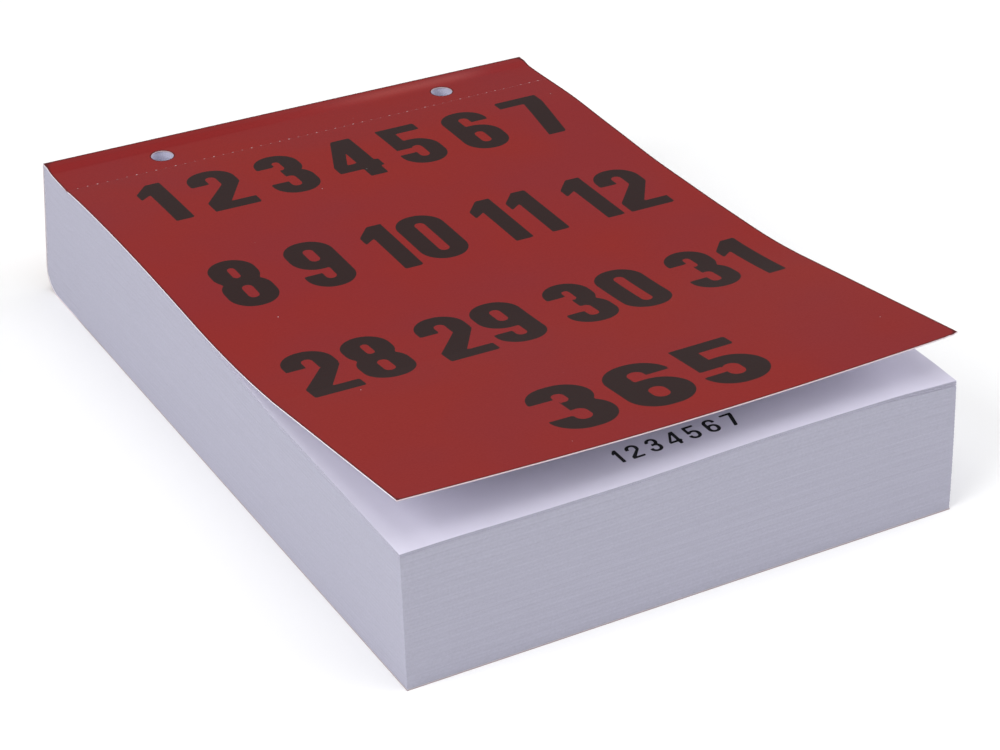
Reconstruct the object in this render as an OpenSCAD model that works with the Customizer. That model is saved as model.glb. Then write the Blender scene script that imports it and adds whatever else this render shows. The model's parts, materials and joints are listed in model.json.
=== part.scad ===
// Tear-off day calendar lying flat: a block of bound leaves in a card cover that folds round its spine.
// X runs along the spine, -Y is the free edge where the leaves are pulled, and +Z is up.
// The origin is on the floor, under the middle of the block.

/* [Leaves] */
// Width of the leaves, along the spine
leaf_w = 137; // [100:1:200]
// Length of the top leaf, from the spine's upper edge to the free edge
leaf_l = 202; // [150:1:300]
// Thickness of one leaf
leaf_t = 0.089; // [0.07:0.001:0.12]
// Leaves on top that hang loose, each torn off by itself
loose_leaves = 7; // [7:1:7]
// Air under each loose leaf
loose_gap = 0.03; // [0.02:0.01:0.08]
// How much higher the stack is at the spine than at the free edge, from the burrs of the perforation
swell = 4.3; // [0:0.1:8]

/* [Cover] */
// Thickness of the cover card
card_t = 0.3; // [0.2:0.05:0.6]

/* [Spine] */
// How far the spine's foot stands behind its upper edge
spine_lean = 8; // [3:0.5:14]
// Outer radius of the cover where it turns under the spine
foot_r = 7; // [4:0.5:11]
// Thickness of the spine glue
glue_t = 0.5; // [0.3:0.1:1.2]
// Width of the glued band on top, from the spine's upper edge to the crease
band_w = 5; // [3:0.1:5.2]
// Width of the sloped crease in front of the glued band
crease_w = 0.6; // [0.3:0.1:0.8]

/* [Hanging holes] */
// Diameter of each hanging hole
hole_d = 6; // [4:0.5:6.5]
// Distance between the centres of the two holes
hole_spacing = 80; // [50:1:85]
// Distance of the holes from the spine's upper edge
hole_inset = 9; // [9:0.5:10.5]

/* [Perforation] */
// Distance of the perforation from the spine's upper edge
perf_inset = 16; // [15:0.5:24]
// Distance between the uncut ties, rounded so that one lies at each end
tie_pitch = 2.62; // [2:0.01:6]
// Width of an uncut tie
tie_w = 0.6; // [0.4:0.1:1.2]
// Length of the ties, which is the width of the perforation's slits
slit_w = 0.25; // [0.15:0.05:0.5]
// Gap between a loose sheet's ties and the stubs, which lets it move
tear_gap = 0.02; // [0.01:0.01:0.05]

/* [Lifted cover] */
// Angle at which the cover leaves the top leaf at the perforation
lift_angle = 0.6; // [0.2:0.1:2]
// Radius of the bend in the cover
bend_r = 295; // [150:5:400]
// Angle through which the cover bends up
bend_angle = 8.6; // [2:0.1:16]
// Straight length of the cover between the bend and its free edge
tail_l = 53; // [20:1:70]

/* [Hidden] */
MONTHS = [
    ["january", 31], ["february", 28], ["march", 31], ["april", 30], ["may", 31], ["june", 30],
    ["july", 31], ["august", 31], ["september", 30], ["october", 31], ["november", 30], ["december", 31]
];

CARD_RED = "#8f3133";
PAPER = "#dcdce8";
GLUE = "#e6ddc4";
ROUND = 96;      // sides of small circles
BEND_ROUND = 1440; // sides of the bend's large circles

overall_l = leaf_l + spine_lean;
y_front = -overall_l / 2;
y_edge = y_front + leaf_l;
y_perf = y_edge - perf_inset;
y_band = y_edge - band_w;
y_crease = y_band - crease_w;
flap_l = leaf_l - perf_inset;
run_l = flap_l - tail_l - bend_r * bend_angle * PI / 180;
stack_tilt = atan(swell / leaf_l);
loose_pitch = leaf_t + loose_gap;
bound_days = leaves_below(-1) - loose_leaves;
foot = [y_edge + spine_lean - foot_r, foot_r];
edge_top = [y_edge, leaf_plane(y_edge) + glue_t + card_t];
rear_angle = tangent_angle(edge_top, foot, foot_r);
past = 1; // how far a cutting shape runs past what it cuts

// Names of the nodes that repeat
function leaf_name(i) = str("day_leaf_", i < 10 ? "0" : "", i);
function pad_name(m) = str(m[0], "_leaves");

// Leaves bound in the months after month m, which lie under it
function leaves_below(m) = m >= len(MONTHS) - 1 ? 0 : MONTHS[m + 1][1] + leaves_below(m + 1);

// Height above the floor, at depth y, of the top of the lowest n bound leaves
function stack_z(y, n) = card_t + n * leaf_t + swell * n / bound_days * (y - y_front) / leaf_l;

// Height of the plane that the cover lies on, just above the top leaf
function leaf_plane(y) = stack_z(y, bound_days) + loose_leaves * loose_pitch + loose_gap;

// Direction, from centre c, of the point where a line from p touches the circle of radius r
function tangent_angle(p, c, r) = atan2(p[1] - c[1], p[0] - c[0]) - acos(r / norm(p - c));

// Point where the sloped rear meets the foot's arc, both moved in by inset
function rear_foot(inset) =
    foot + (foot_r - inset) * [cos(rear_angle), sin(rear_angle)];

// Corner where the sloped rear, moved in by inset, meets the leaf plane raised by lift
function rear_corner(lift, inset) =
    let (
        c = cos(rear_angle),
        s = sin(rear_angle),
        rise = leaf_plane(0) + lift - foot[1],
        y = (foot_r - inset + c * foot[0] - s * rise) / (c + s * tan(stack_tilt))
    ) [y, leaf_plane(y) + lift];

// Draws a side profile, with y to the right and z up, along the full width of the leaves
module along_width(w = leaf_w)
    translate([-w / 2, 0, 0]) rotate([90, 0, 90]) linear_extrude(w) children();

// Pie slice of the foot's arc, of the given radius, from straight down to the sloped rear
module foot_slice(r)
    intersection() {
        translate(foot) circle(r, $fn = ROUND);
        polygon([
            foot, foot + [0, -2 * r], foot + 2 * r * [1, -1],
            foot + 3 * r * [cos(rear_angle), sin(rear_angle)]
        ]);
    }

// Arc of a layer between two insets round the spine's foot
module foot_layer(outer, inner)
    difference() {
        foot_slice(foot_r - outer);
        translate(foot) circle(foot_r - inner, $fn = ROUND);
    }

// Both hanging holes, drilled straight down through the block
module holes()
    for (side = [-1, 1])
        translate([side * hole_spacing / 2, y_edge - hole_inset, -past])
            cylinder(d = hole_d, h = edge_top[1] + 2 * past, $fn = ROUND);

// Plan of a torn sheet: ties stand out of its rear edge up to y_tie, and it runs past the free edge
module tied_plan(y_tie) {
    count = round((leaf_w - tie_w) / tie_pitch);
    pitch = (leaf_w - tie_w) / count;
    y_slit = y_perf - slit_w;
    rear = [for (i = [0:count]) let (x = -leaf_w / 2 + i * pitch)
        each [[x, y_slit], [x, y_tie], [x + tie_w, y_tie], [x + tie_w, y_slit]]];
    reach = y_front - leaf_l;
    polygon(concat(rear, [[leaf_w / 2, reach], [-leaf_w / 2, reach]]));
}

// Cuts the ties into the rear edge of a sheet or pad given as a side profile
module tied_sheet(y_tie)
    intersection() {
        along_width(leaf_w + 2 * past) children();
        linear_extrude(leaf_plane(y_edge) + leaf_l) tied_plan(y_tie);
    }

module cover_back()
    color(CARD_RED) difference() {
        translate([-leaf_w / 2, y_front, 0]) cube([leaf_w, foot[0] - y_front, card_t]);
        holes();
    }

module cover_spine()
    color(CARD_RED) along_width() {
        foot_layer(0, card_t);
        polygon([
            rear_foot(0), edge_top, rear_corner(glue_t + card_t, card_t), rear_foot(card_t)
        ]);
    }

module cover_hinge_strip()
    color(CARD_RED) difference() {
        along_width() polygon([
            [y_perf, leaf_plane(y_perf)],
            [y_crease, leaf_plane(y_crease)],
            [y_band, leaf_plane(y_band) + glue_t],
            rear_corner(glue_t, card_t),
            rear_corner(glue_t + card_t, card_t),
            [y_band, leaf_plane(y_band) + glue_t + card_t],
            [y_crease, leaf_plane(y_crease) + card_t],
            [y_perf, leaf_plane(y_perf) + card_t]
        ]);
        holes();
    }

module spine_glue()
    color(GLUE) along_width() {
        foot_layer(card_t, card_t + glue_t);
        polygon([
            rear_foot(card_t), rear_corner(glue_t, card_t), [y_band, leaf_plane(y_band) + glue_t],
            [y_band, leaf_plane(y_band)], rear_corner(0, card_t + glue_t), rear_foot(card_t + glue_t)
        ]);
    }

module bound_stubs()
    color(PAPER) difference() {
        along_width() {
            foot_slice(foot_r - card_t - glue_t);
            polygon([
                [y_perf, card_t], [foot[0], card_t], foot, rear_foot(card_t + glue_t),
                rear_corner(0, card_t + glue_t), [y_perf, leaf_plane(y_perf)]
            ]);
        }
        holes();
    }

// Leaves of month m that are still bound; the loose ones are taken off the first month
module month_leaves(m) {
    low = leaves_below(m);
    high = low + MONTHS[m][1] - (m == 0 ? loose_leaves : 0);
    color(PAPER) tied_sheet(y_perf) polygon([
        [y_perf, stack_z(y_perf, low)], [y_front, stack_z(y_front, low)],
        [y_front, stack_z(y_front, high)], [y_perf, stack_z(y_perf, high)]
    ]);
}

// Loose leaf i, counted from the top
module day_leaf(i) {
    drop = i * loose_pitch;
    color(PAPER) tied_sheet(y_perf - tear_gap) polygon([
        [y_perf, leaf_plane(y_perf) - drop], [y_front, leaf_plane(y_front) - drop],
        [y_front, leaf_plane(y_front) - drop + leaf_t], [y_perf, leaf_plane(y_perf) - drop + leaf_t]
    ]);
}

// Side profile of the lifted cover: straight off the perforation, bent up, and straight to its free edge
module flap_profile() {
    bend_start = run_l * [cos(lift_angle), sin(lift_angle)];
    centre = bend_start + bend_r * [-sin(lift_angle), cos(lift_angle)];
    end_angle = lift_angle + bend_angle;
    tail_start = centre + bend_r * [sin(end_angle), -cos(end_angle)];
    rotate(lift_angle) square([run_l, card_t]);
    intersection() {
        difference() {
            translate(centre) circle(bend_r, $fn = BEND_ROUND);
            translate(centre) circle(bend_r - card_t, $fn = BEND_ROUND);
        }
        polygon([
            centre,
            centre + 2 * bend_r * [sin(lift_angle), -cos(lift_angle)],
            centre + 2 * bend_r * [sin(end_angle), -cos(end_angle)]
        ]);
    }
    translate(tail_start) rotate(end_angle) square([tail_l, card_t]);
}

module cover_flap()
    color(CARD_RED) tied_sheet(y_perf - tear_gap)
        translate([y_perf, leaf_plane(y_perf)]) rotate(stack_tilt) mirror([1, 0]) flap_profile();

cover_back();
cover_spine();
cover_hinge_strip();
cover_flap();
spine_glue();
bound_stubs();
for (i = [1:loose_leaves]) day_leaf(i);
for (m = [0:len(MONTHS) - 1]) month_leaves(m);
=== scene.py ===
"""Tear-off day calendar lying flat: the looks of its card cover, its leaves and its binding.

Every size is in metres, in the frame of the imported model: X along the spine, +Y from the free edge
of the leaves to the spine, +Z up through the leaves.
"""
import json
import math

import bpy
import numpy as np
from bpy.props import FloatProperty, FloatVectorProperty, IntProperty, PointerProperty
from mathutils import Matrix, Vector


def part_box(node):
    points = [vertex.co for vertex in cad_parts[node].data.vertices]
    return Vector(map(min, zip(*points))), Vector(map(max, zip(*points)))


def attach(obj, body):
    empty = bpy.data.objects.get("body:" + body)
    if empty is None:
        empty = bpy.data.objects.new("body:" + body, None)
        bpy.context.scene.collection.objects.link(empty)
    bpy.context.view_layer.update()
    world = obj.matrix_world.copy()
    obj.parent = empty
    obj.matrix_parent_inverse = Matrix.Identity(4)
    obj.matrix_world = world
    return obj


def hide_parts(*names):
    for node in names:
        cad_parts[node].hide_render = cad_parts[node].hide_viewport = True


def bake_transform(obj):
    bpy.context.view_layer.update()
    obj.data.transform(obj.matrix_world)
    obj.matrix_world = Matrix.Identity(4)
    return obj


bl_info = {
    "name": "Tear-off day calendar",
    "version": (1, 0, 0),
    "blender": (4, 5, 0),
    "location": "View3D > Sidebar > Calendar",
    "description": "Makes the cover, leaves, print and binding of a tear-off day calendar",
    "category": "Add Mesh",
}

MM = 0.001
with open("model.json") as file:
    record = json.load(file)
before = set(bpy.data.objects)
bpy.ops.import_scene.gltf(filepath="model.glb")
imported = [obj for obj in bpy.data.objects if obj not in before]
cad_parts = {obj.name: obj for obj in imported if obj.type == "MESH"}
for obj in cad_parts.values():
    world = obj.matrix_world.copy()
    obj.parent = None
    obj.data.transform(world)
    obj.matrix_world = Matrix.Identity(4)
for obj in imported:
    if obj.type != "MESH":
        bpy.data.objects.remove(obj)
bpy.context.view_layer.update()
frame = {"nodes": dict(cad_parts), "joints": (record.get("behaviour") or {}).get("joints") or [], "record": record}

# ------------ places read from the frame
JOINTS = {joint["name"]: joint for joint in frame["joints"]}
HINGE_Y, HINGE_Z = JOINTS["cover_hinge"]["pos_m"][1:]
PULL = JOINTS["leaf_01_pull"]["axis"]
SLOPE = PULL[2] / PULL[1]  # rise of the top leaf per metre towards the spine
TILT = math.atan(SLOPE)
HALF_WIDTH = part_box("january_leaves")[1].x
FREE_EDGE_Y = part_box("january_leaves")[0].y
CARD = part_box("cover_back")[1].z
REAR_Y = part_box("cover_spine")[1].y
HOLES = [m for m in frame["record"]["mounts"] if m["kind"] == "bore"]
HOLE_X = abs(HOLES[0]["pos_m"][0])
HOLE_Y = HOLES[0]["pos_m"][1]
HOLE_RADIUS = HOLES[0]["dims"]["r_mm"] * MM
BLOCK = frame["record"]["behaviour"]["bodies"]["block"]
MONTHS = [name.removesuffix("_leaves") for name in BLOCK if name.endswith("_leaves")]
MONTH_DAYS = {"february": 28, "april": 30, "june": 30, "september": 30, "november": 30}
LOOSE = len([name for name in frame["nodes"] if name.startswith("day_leaf_")])
YEAR = sum(MONTH_DAYS.get(month, 31) for month in MONTHS)
BOUND = YEAR - LOOSE

# ------------ fixed choices
WINDOW = 3.4 * MM  # half the side of the square net round each hole
WINDOW_SIDES = 12  # quads along a side of that square
WINDOW_RINGS = 3  # quads from the hole to that square
SHARP = math.radians(40)  # edges that turn more than this are shaded sharp
WIDEST = 0.45  # share of the year's leaves at which the stack stands out furthest
DATE_BASE = -30 * MM  # where a leaf's date stands along Y
DATE_GAP = 6 * MM  # space between the digits of a date
FOOT_BASE = FREE_EDGE_Y + 7.6 * MM  # where the first leaf's small row stands along Y
HANG_START = 70 * MM  # from the perforation to where the lifted cover starts to hang
FOLD_POINTS, FOOT_POINTS = 14, 40  # points along the arcs of the spine's fold and foot
STUB_LEVELS = 123  # steps in the cut edge of all the bound ends, about three leaves each
NICK_SIDES = 8  # sides of a torn fibre's dome
CLEAR = 0.02 * MM  # space left between two pieces that would otherwise touch
FLOOR_REACH = 6.0  # the floor runs this far each way, in metres
LOOKED_AT = (16.72 * MM, -133.74 * MM, 17 * MM)  # where the camera looks, from the spine's upper edge


# ------------ sizes and colours a user may change
def length(name, description, millimetres):
    """A length in metres, shown in the scene's own unit, from its default in millimetres."""
    return FloatProperty(name=name, description=description, default=millimetres * MM, subtype="DISTANCE",
                         unit="LENGTH", precision=5)


def angle(name, description, degrees):
    """An angle in radians, from its default in degrees."""
    return FloatProperty(name=name, description=description, default=math.radians(degrees),
                         subtype="ANGLE", unit="ROTATION")


def colour(name, description, hex_value):
    """An sRGB colour, kept as the linear values that shaders use."""
    return FloatVectorProperty(name=name, description=description, default=linear(hex_value),
                               subtype="COLOR", size=3, min=0.0, max=1.0)


def power(name, description, default):
    """A light's power in watts."""
    return FloatProperty(name=name, description=description, default=default, subtype="POWER", unit="POWER")


def linear(hex_value):
    """Linear red, green and blue of an sRGB hex colour, by the standard's two-part curve."""
    srgb = np.array([int(hex_value[i:i + 2], 16) for i in (1, 3, 5)]) / 255
    curve = np.where(srgb <= 0.04045, srgb / 12.92, ((srgb + 0.055) / 1.055) ** 2.4)
    return tuple(float(value) for value in curve)


class CoverSizes(bpy.types.PropertyGroup):
    """Sizes of the card cover where it leaves the shape of the flat block."""

    perforation_inset: length("Perforation inset", "Spine's upper edge to the perforation", 16)
    band_width: length("Band width", "Glued band between the spine's edge and the crease", 2.5)
    crease_width: length("Crease width", "Depth of the soft crease in front of the band", 3.4)
    glue: length("Glue", "Thickness of the spine glue", 0.5)
    fold_radius: length("Fold radius", "Radius of the fold along the spine's upper edge", 0.4)
    foot_radius: length("Foot radius", "Radius under the spine", 5.2)
    spine_rise: length("Spine rise", "How far the spine's left end is swollen upwards", 0.45)
    spine_push: length("Spine push", "How far the spine's left end is pushed backwards", 0.8)
    sag: length("Sag", "How far the free edge hangs below the line between its corners", 1.9)
    tuck: length("Tuck", "How far the card under the block stands back from the leaves", 0.03)
    burr: length("Burr", "How far the drill drew the card into the holes", 0.15)
    fold_length: length("Fold length", "Length of the cover that bends as it is folded back", 8)
    curl_start_left: length("Curl start, left", "Perforation to the start of the curl", 78)
    curl_start_right: length("Curl start, right", "The same along the right edge", 82.6)
    curl_radius: length("Curl radius", "Radius of the curl", 287)
    curl_angle: angle("Curl angle", "Angle that the cover turns up", 8.5)
    sheet_left: length("Left edge", "Length of the lifted cover's left edge", 186.6)
    sheet_right: length("Right edge", "Length of the lifted cover's right edge", 186.2)


class PaperSizes(bpy.types.PropertyGroup):
    """Sizes of the leaves and of the waves in their stack."""

    leaf: length("Leaf", "Thickness of one leaf", 0.089)
    air: length("Air", "Air under each loose leaf", 0.03)
    inset: length("Inset", "How far the leaves stand back from the cover's side edges", 0.06)
    swelling_left: length("Swelling, left", "Height of the bulge behind the middle, left", 2.2)
    swelling_right: length("Swelling, right", "Height of the bulge behind the middle, right", 0.25)
    swelling_reach: length("Swelling reach", "How far the bulge reaches from the perforation", 125)
    lift: length("Lift", "Height of the bulge at the perforation, left", 0.3)
    wave: length("Wave", "Height of the wave along the right edge", 0.45)
    ripple: length("Ripple", "Height of the wave along the free edge", 0.9)
    droop: length("Droop", "How far the stack sinks at its front right corner", 0.48)
    bow: length("Bow", "How far the top and bottom leaves stand back from the middle", 0.25)
    tie_pitch: length("Tie pitch", "Distance between the perforation's ties", 2.62)
    tie: length("Tie", "Width of a tie", 0.6)
    slit: length("Slit", "Width of the perforation's slits", 0.015)


class PrintSizes(bpy.types.PropertyGroup):
    """Sizes of the printed numbers."""

    digit_height: length("Digit height", "Height of the numbers on the cover", 23.6)
    digit_width: length("Digit width", "Width of the numbers on the cover", 12.3)
    stem: length("Stem", "Width of their upright strokes", 4.8)
    digit_gap: length("Gap", "Space between two numbers in a row", 1.9)
    row_pitch: length("Row pitch", "Distance between the rows of numbers", 48.7)
    first_row: length("First row", "Spine's upper edge to the top of the first row", 24)
    date_height: length("Date height", "Height of the date on each leaf", 70)


class Colours(bpy.types.PropertyGroup):
    """Colours of the finishes."""

    card: colour("Cover card", "Printed red of the cover", "#821c1f")
    warm: colour("Warm patches", "Where the cover's red is printed warmer", "#871a15")
    # painted shade: the deeper red painted on the glued band's left half, which reflects less light
    band: colour("Glued band", "The red where the card is glued down and lies tight", "#7e0c0d")
    # painted highlight: the film's gloss, painted on the glued band's right half
    gloss: colour("Gloss", "The red where the film's gloss catches the light", "#e19590")
    # painted shade: the dark hairline painted along folds, cut edges and holes
    crushed: colour("Crushed film", "The dark line along folds, cuts and holes", "#540608")
    ink: colour("Cover ink", "Near-black ink on the cover", "#1d1110")
    board: colour("Bare board", "Unprinted side of the card", "#f3f1f8")
    cut: colour("Cut board", "Cut edge of the card, with a trace of the red", "#d8c6cb")
    leaf: colour("Leaf", "Face of a leaf", "#d2cfdf")
    edge: colour("Leaf edges", "Cut edges of the stack of leaves", "#b3b2c2")
    # painted light: the walls of the drilled holes are painted lighter than the leaf edges, for the light inside
    # them
    bore: colour("Bored paper", "Loose fibres on the walls of the drilled holes", "#cccbdf")
    leaf_ink: colour("Leaf ink", "Black ink on the leaves", "#16161a")
    glue: colour("Glue", "Dried spine glue", "#b9b3a8")
    floor: colour("Floor", "Plain pale floor", "#fafafa")


class StageSettings(bpy.types.PropertyGroup):
    """Where the camera stands, and the strength of the light."""

    azimuth: angle("Azimuth", "Camera's turn about +Z", -29.672)
    elevation: angle("Elevation", "Camera's height angle", 29.21)
    roll: angle("Roll", "Camera's tilt about its own axis", -0.659)
    distance: length("Distance", "Camera to the point it looks at", 649.5)
    lens: FloatProperty(name="Lens", description="Focal length in millimetres", default=100.0)
    shift: FloatProperty(name="Shift", description="Sideways shift of the frame", default=-0.1)
    top_light: power("Top light", "Power of the light above", 12.1)
    left_light: power("Left light", "Power of the light on the left", 19.7)
    right_light: power("Right light", "Power of the light on the right", 5.2)
    low_light: power("Low light", "Power of the light low on the right", 14.6)
    back_light: power("Back light", "Power of the light behind", 3.0)
    surround: FloatProperty(name="Surround", description="Strength of the light all round", default=0.24)


class CalendarSettings(bpy.types.PropertyGroup):
    """All of the calendar's settings."""

    cover: PointerProperty(type=CoverSizes, name="Cover", description="Sizes of the cover")
    paper: PointerProperty(type=PaperSizes, name="Paper", description="Sizes of the leaves")
    numbers: PointerProperty(type=PrintSizes, name="Numbers", description="Sizes of the print")
    colours: PointerProperty(type=Colours, name="Colours", description="Colours of the finishes")
    stage: PointerProperty(type=StageSettings, name="Stage", description="Camera and light")


def settings():
    """The calendar's settings in this scene."""
    return bpy.context.scene.calendar


# ------------ flat nets and the solids made from them
def grid_net(across, along, keep=None):
    """A net of quads between the given lines, less the dropped cells. Corner (i, j) is at across[i] and
    along[j]."""
    x, y = np.meshgrid(across, along, indexing="ij")
    number = np.arange(x.size).reshape(x.shape)
    quads = np.stack([number[:-1, :-1], number[1:, :-1], number[1:, 1:], number[:-1, 1:]], axis=-1)
    if keep is not None:
        quads = quads[keep]
    return np.stack([x.ravel(), y.ravel()], axis=1), quads.reshape(-1, 4)


def ring_net(centre, radius, half, sides, rings):
    """A net from a circle out to a square: its corners lie on the straight lines from the circle to the
    square's points."""
    side = np.stack([np.linspace(-half, half, sides + 1)[:-1], np.full(sides, -half)], 1)
    quarter_turn = [[0, 1], [-1, 0]]
    square = np.concatenate([side @ np.linalg.matrix_power(quarter_turn, k) for k in range(4)])
    circle = square / np.linalg.norm(square, axis=1, keepdims=True) * radius
    share = np.linspace(0, 1, rings + 1)[:, None, None]
    points = (circle + (square - circle) * share).reshape(-1, 2) + centre
    here, count = np.arange(4 * sides), 4 * sides
    after = np.roll(here, -1)
    band = np.stack([here, here + count, after + count, after], 1)
    return points, np.concatenate([band + k * count for k in range(rings)])


def weld(nets):
    """One net from several: corners that fall on the same micron become one, and unused corners go."""
    counts = np.cumsum([0] + [len(points) for points, _ in nets])
    points = np.concatenate([points for points, _ in nets])
    quads = np.concatenate([quads + start for (_, quads), start in zip(nets, counts)])
    rounded = np.round(points / (0.001 * MM))
    _, first, same = np.unique(rounded, axis=0, return_index=True, return_inverse=True)
    points, quads = points[first], same.reshape(-1)[quads]
    used, quads = np.unique(quads, return_inverse=True)
    return points[used], quads.reshape(-1, 4)


def rim_of(quads):
    """The directed edges that only one quad of a net uses."""
    edges = np.concatenate([quads[:, [k, (k + 1) % 4]] for k in range(4)]).astype(np.int64)
    size = int(quads.max()) + 1
    return edges[~np.isin(edges @ [size, 1], edges @ [1, size])]


def put_in_scene(name, data):
    """A new object with this mesh, light or camera, linked to the scene."""
    thing = bpy.data.objects.new(name, data)
    bpy.context.scene.collection.objects.link(thing)
    return thing


def solid(name, net, place, levels, makes, marks=None):
    """A closed piece from a flat net. The net is placed once for each level, from the under side to the
    upper side; its quads cover the first and last levels, and its rim is walled between all of them.

    place(x, y, level) gives the corners' places, makes are the functions that make the materials of the
    upper side, under side and walls, and marks are functions of (x, y, level) that give named values to
    the corners.
    """
    points, quads = net
    rim = rim_of(quads)
    rim_points, rim = np.unique(rim, return_inverse=True)
    rim = rim.reshape(-1, 2)
    everywhere, last = np.arange(len(points)), len(levels) - 1
    members = [everywhere if k in (0, last) else rim_points for k in range(len(levels))]
    starts = np.cumsum([0] + [len(m) for m in members])
    corners = np.concatenate([place(*points[m].T, level) for m, level in zip(members, levels)])
    ring = [starts[k] + (rim_points if k in (0, last) else np.arange(len(rim_points)))
            for k in range(len(levels))]
    walls = np.concatenate([
        np.stack([high[rim[:, 0]], low[rim[:, 0]], low[rim[:, 1]], high[rim[:, 1]]], 1)
        for low, high in zip(ring[:-1], ring[1:])])
    faces = np.concatenate([quads + starts[last], quads[:, ::-1], walls])
    mesh = bpy.data.meshes.new(name)
    mesh.from_pydata(corners.tolist(), [], faces.tolist())
    used = list(dict.fromkeys(makes))
    for make in used:
        mesh.materials.append(look_of(make))
    kinds = np.repeat([used.index(make) for make in makes], [len(quads), len(quads), len(walls)])
    mesh.polygons.foreach_set("material_index", kinds.astype(np.int32))
    mesh.polygons.foreach_set("use_smooth", np.ones(len(faces), bool))
    for mark, value_of in (marks or {}).items():
        values = np.concatenate([value_of(*points[m].T, level) for m, level in zip(members, levels)])
        mesh.attributes.new(mark, "FLOAT", "POINT").data.foreach_set("value", values.astype(np.float32))
    mesh.set_sharp_from_angle(angle=SHARP)
    mesh.update()
    return put_in_scene(name, mesh)


def spread(low, high, step):
    """Evenly spaced lines from low to high, about one step apart."""
    return np.linspace(low, high, max(1, round((high - low) / step)) + 1)


def lines(*parts):
    """Lines in order, with those closer than 10 microns to their neighbour left out."""
    every = np.unique(np.concatenate(parts))
    return every[np.concatenate([[True], np.diff(every) > 0.01 * MM])]


def smooth(value, low, high):
    """0 below low, 1 above high, and an S-shaped cubic between them."""
    share = np.clip((value - low) / (high - low), 0, 1)
    return share * share * (3 - 2 * share)


# ------------ the stack of leaves
def leaf_plane(y):
    """Height of the plane that the cover lies on."""
    return HINGE_Z - CARD + SLOPE * (y - HINGE_Y)


def spine_edge():
    """Place along Y of the spine's upper edge."""
    return HINGE_Y + settings().cover.perforation_inset


def across_share(x):
    """0 at the left edge of the block and 1 at the right edge."""
    return (x + HALF_WIDTH) / (2 * HALF_WIDTH)


def swelling(x, y):
    """How far the stack bulges under the cover: a small lift at the perforation, which starts 10 mm
    behind it, a sine hump in front of it, which rises fast and falls slowly and is highest along the
    left edge, and a shallow wave along the right edge, of three bell curves."""
    paper, right = settings().paper, across_share(x)
    ahead = HINGE_Y - y
    share = np.clip(ahead / paper.swelling_reach, 0, 1)
    lift = paper.lift * (1 - 0.65 * right) * (1 - smooth(share, 0, 1))
    hump = (paper.swelling_left + (paper.swelling_right - paper.swelling_left) * right - lift)
    crests = [(1.0, 14, 13), (-0.95, 57, 15), (0.75, 95, 13)]  # share, place and width of each, in mm
    wave = sum(size * np.exp(-(((ahead - at * MM) / (wide * MM)) ** 2)) for size, at, wide in crests)
    bulge = lift + hump * np.sin(math.pi * share ** 0.75) + paper.wave * right ** 2 * wave
    return bulge * (1 - smooth(-ahead, 0, 10 * MM))


def front_share(y, reach):
    """1 at the leaves' free edge, falling as a bell curve over the given reach."""
    return np.exp(-(((y - FREE_EDGE_Y) / reach) ** 2))


def ripple(x, y):
    """The wave along the free edge: one long swell right of the middle, which falls a little towards the
    right edge and more just at the corner, and a low swell near the left corner."""
    fall = smooth(x, 50 * MM, 70 * MM) * (0.35 + 0.4 * front_share(y, 6 * MM))
    long_swell = smooth(x, -20 * MM, 26 * MM) * (1 - fall)
    low_swell = 0.22 * np.exp(-(((x + 56 * MM) / (12 * MM)) ** 2))
    return settings().paper.ripple * (long_swell + low_swell) * front_share(y, 45 * MM)


def corner_droop(x, y):
    """How far the stack sinks below its top leaf towards the front right corner."""
    return settings().paper.droop * smooth(x, 35 * MM, 75 * MM) * front_share(y, 35 * MM)


def stack_height(x, y, leaves):
    """Height of the top of the given number of bound leaves: they share the plane's height evenly, and
    the bulge, the wave and the droop grow with the number of leaves."""
    paper, share = settings().paper, leaves / BOUND
    full = leaf_plane(y) - LOOSE * (paper.leaf + paper.air) - paper.air - CARD
    wave = (swelling(x, y) + ripple(x, y)) * share ** 1.5 - corner_droop(x, y) * share ** 12
    return CARD + full * share + wave


def jog(leaves, phase):
    """Side step of the cut edge at a leaf, between about -0.05 and 0.05 mm: the sum of three sines that
    never line up."""
    return 0.018 * MM * (np.sin(1.7 * leaves + phase) + np.sin(0.61 * leaves + 2 * phase)
                         + np.sin(0.233 * leaves + 3 * phase))


def trimmed(x, y, leaves):
    """A leaf's corner after trimming: the edges stand back from the cover by the inset, step from leaf to
    leaf, and bow back in a parabola at the top and bottom of the stack."""
    paper = settings().paper
    to_front = np.clip((HINGE_Y - y) / (HINGE_Y - FREE_EDGE_Y), 0, 1)
    bow = paper.bow * ((leaves / YEAR - WIDEST) / (1 - WIDEST)) ** 2
    x = x * (1 - paper.inset / HALF_WIDTH) + jog(leaves, 0.4)
    return x, y + to_front * (bow + 0.05 * MM + jog(leaves, 2.1))


def tie_edges():
    """Left and right edges of the perforation's ties, with one at each end of the sheet."""
    paper = settings().paper
    count = round((2 * HALF_WIDTH - paper.tie) / paper.tie_pitch)
    left = np.linspace(-HALF_WIDTH, HALF_WIDTH - paper.tie, count + 1)
    return left, left + paper.tie


def tie_lines(parts):
    """The edges of every tie, and lines that part each slit between them evenly."""
    left, right = tie_edges()
    share = np.arange(parts)[1:, None] / parts
    return np.concatenate([left, right, (right[:-1] + (left[1:] - right[:-1]) * share).ravel()])


def tied_net(along, parts=1, extra=()):
    """The net of a torn-off sheet: a full grid up to the slits, and only the ties beyond them."""
    left, right = tie_edges()
    across = lines(tie_lines(parts), extra)
    along = lines(along, [HINGE_Y - settings().paper.slit, HINGE_Y])
    middle = (across[1:] + across[:-1]) / 2
    in_tie = np.any((middle[:, None] > left) & (middle[:, None] < right), axis=1)
    keep = np.ones((len(across) - 1, len(along) - 1), bool)
    keep[:, -1] = in_tie
    return weld([grid_net(across, along, keep)])


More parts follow.
